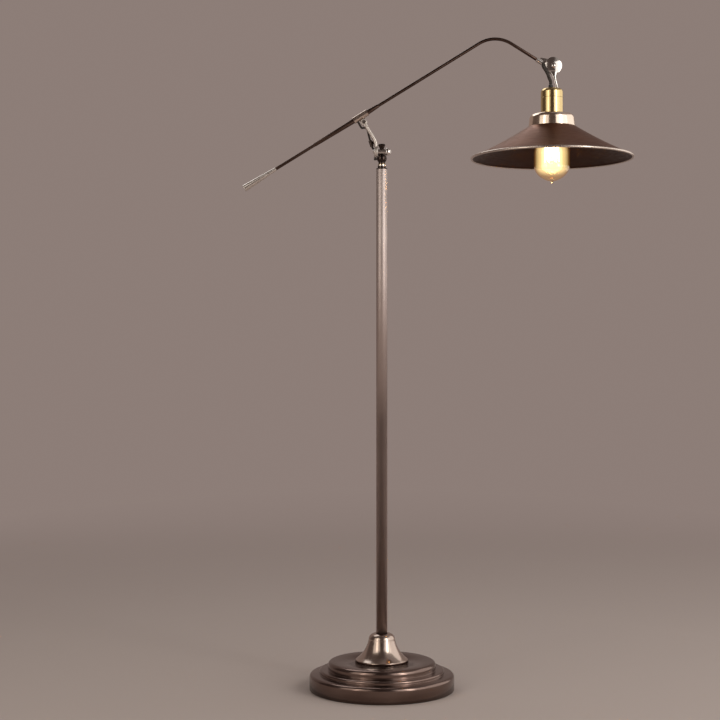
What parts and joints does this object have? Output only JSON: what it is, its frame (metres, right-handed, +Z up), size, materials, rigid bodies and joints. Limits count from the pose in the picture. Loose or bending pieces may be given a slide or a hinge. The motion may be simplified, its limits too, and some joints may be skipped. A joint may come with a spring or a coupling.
{
  "type": "bridge floor lamp",
  "caption": "Free-standing floor lamp: round weighted base, slender pole, swivelling and tilting cranked arm, and a tilting brass lampholder with a shallow metal shade and clear bulb",
  "frame": {"origin": "Centre of the base's underside, on the floor", "axes": "+Z is up, +X points from the pole towards the lamp head, so the arm lies in the XZ plane at rest"},
  "size_m": [0.7353, 0.306, 1.2252],
  "materials": {
    "felt": "matt black felt",
    "iron": "rough cast, unpainted",
    "bronze_paint": "satin dark bronze paint",
    "zinc_steel": "zinc plated",
    "black_rubber": "matt",
    "nickel": "satin nickel",
    "pole_bronze": "satin bronze, brighter at grazing light",
    "polished": "polished nickel",
    "lead_cover": "dark braided cover",
    "brass": "polished brass",
    "dark_steel": "blackened polished steel",
    "ceramic": "glazed white porcelain",
    "copper_nickel": "polished rose nickel",
    "shade_bronze": "satin dark bronze, dark inside",
    "contact_black": "black vitrite with a soldered tip",
    "bulb_glass": "clear, amber tinted",
    "glass_stem": "clear",
    "filament": "glowing amber"
  },
  "bodies": {
    "base": {"base_pad": "felt", "base_weight": "iron", "base_shell": "bronze_paint", "base_nipple": "zinc_steel", "base_washer": "zinc_steel", "base_nut": "zinc_steel", "cord_inlet": "black_rubber", "bell_cover": "nickel", "pole_foot": "zinc_steel", "pole_tube": "pole_bronze", "pole_top": "polished", "pole_lead": "lead_cover", "swivel_washer": "brass"},
    "knuckle": {"swivel_knuckle": "dark_steel", "swivel_grub_screw": "dark_steel", "swivel_cap_screw": "dark_steel", "knuckle_bolt": "polished", "knuckle_washers": "polished", "knuckle_lead": "lead_cover"},
    "knob": {"clamp_knob": "polished"},
    "link": {"link_bar": "nickel", "lead_clip": "dark_steel", "link_lead": "lead_cover", "sleeve_pin": "polished", "sleeve_pin_nut": "polished"},
    "arm": {"arm_sleeve": "nickel", "rear_taper": "bronze_paint", "front_taper": "bronze_paint", "arm_tube": "bronze_paint", "arm_tail": "nickel", "arm_lead": "lead_cover", "arm_joint_lug": "polished", "joint_bolt": "polished", "joint_washer": "dark_steel", "joint_nut": "polished", "head_lead": "lead_cover"},
    "head": {"head_joint_lug": "polished", "cord_grip": "black_rubber", "holder_cap": "brass", "holder_shell": "brass", "holder_insulator": "ceramic", "holder_screw_shell": "brass", "holder_contact": "brass", "shade_fitter": "copper_nickel", "shade": "shade_bronze", "shade_ring": "brass", "bulb_cap": "brass", "bulb_base_contact": "contact_black", "bulb_glass": "bulb_glass", "bulb_stem": "glass_stem", "bulb_filament": "filament", "filament_hooks": "zinc_steel"}
  },
  "joints": [
    {"name": "arm_swivel", "type": "hinge", "parent": "base", "child": "knuckle", "pos_m": [0, 0, 0.9855], "axis": [0, 0, 1], "range_deg": [-165, 165]},
    {"name": "clamp_knob_turn", "type": "hinge", "parent": "knuckle", "child": "knob", "pos_m": [0.01, 0, 1.01], "axis": [1, 0, 0], "continuous": true},
    {"name": "link_tilt", "type": "hinge", "parent": "knuckle", "child": "link", "pos_m": [-0.0107, 0, 1.01], "axis": [1, 0, 0], "range_deg": [-30, 30], "deforming": ["knuckle_lead"]},
    {"name": "arm_tilt", "type": "hinge", "parent": "link", "child": "arm", "pos_m": [-0.03362, 0, 1.06533], "axis": [0, -1, 0], "range_deg": [-35, 30], "deforming": ["link_lead"]},
    {"name": "head_tilt", "type": "hinge", "parent": "arm", "child": "head", "pos_m": [0.32255, 0, 1.17195], "axis": [0, -1, 0], "range_deg": [-35, 70], "deforming": ["head_lead"]}
  ]
}
